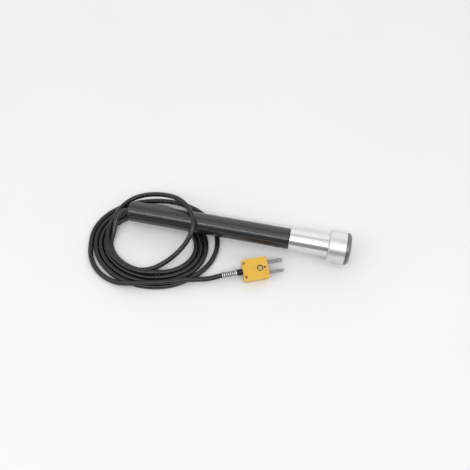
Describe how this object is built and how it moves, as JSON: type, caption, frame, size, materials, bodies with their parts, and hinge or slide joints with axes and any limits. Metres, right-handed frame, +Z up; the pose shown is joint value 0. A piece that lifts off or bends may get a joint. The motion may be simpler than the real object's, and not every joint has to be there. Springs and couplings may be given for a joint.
{
  "type": "surface thermocouple probe",
  "caption": "Straight hand probe that measures a surface's temperature with a sprung contact band, with a coiled cable and a flat two-blade miniature connector.",
  "frame": {"origin": "on the surface that the probe lies on, under the middle of the probe's length", "axes": "+X along the probe's axis towards the sensing tip, +Z up, +Y to the left when looking along +X"},
  "size_m": [0.201, 0.0825, 0.0247],
  "materials": {
    "handle_plastic": "satin",
    "black_rubber": "matte",
    "cable_jacket": "satin",
    "plated_brass": "satin",
    "lead_yellow": "gloss",
    "lead_red": "gloss",
    "dark_steel": "satin",
    "satin_aluminium": "satin, turned",
    "matt_aluminium": "matt, turned",
    "white_polymer": "matte",
    "brushed_steel": "brushed",
    "spring_steel": "satin",
    "bare_wire": "satin",
    "ceramic": "matte, fired",
    "positive_alloy": "satin",
    "negative_alloy": "satin",
    "weld": "heat tinted",
    "screw_steel": "satin",
    "nickel_spring": "bright",
    "plug_yellow": "satin, moulded",
    "screw_brass": "satin",
    "rivet_brass": "tarnished"
  },
  "bodies": {
    "probe": {"handle_tube": "handle_plastic", "end_plug": "handle_plastic", "cable_gland": "black_rubber", "cable_inside": "cable_jacket", "cable_ferrule": "plated_brass", "positive_lead": "lead_yellow", "negative_lead": "lead_red", "handle_screws": "dark_steel", "neck_sleeve": "satin_aluminium", "lead_insulator": "white_polymer", "lead_crimps": "plated_brass", "guard_ring": "matt_aluminium", "nose_ring": "brushed_steel", "spring_seat": "spring_steel", "return_spring": "spring_steel", "band_tails": "bare_wire", "cable_lead_out": "cable_jacket", "cable_over_loop": "cable_jacket", "cable_coil": "cable_jacket", "cable_tail": "cable_jacket", "bend_guard": "nickel_spring", "plug_boot": "black_rubber", "plug_base": "plug_yellow", "plug_cover": "plug_yellow", "cover_screw": "screw_brass", "cover_rivets": "rivet_brass", "positive_blade": "positive_alloy", "negative_blade": "negative_alloy", "terminal_screws": "screw_steel", "positive_core": "lead_yellow", "negative_core": "lead_red"},
    "sensor": {"sensor_core": "ceramic", "band_positive": "positive_alloy", "band_negative": "negative_alloy", "contact_junction": "weld", "band_terminals": "plated_brass", "band_screws": "screw_steel"}
  },
  "joints": [
    {"name": "sensor_slide", "type": "slide", "parent": "probe", "child": "sensor", "axis": [-1, 0, 0], "range_m": [0, 0.002], "stiffness_N_per_m": 800, "springref_m": -0.002, "deforming": ["return_spring", "band_tails"]}
  ]
}
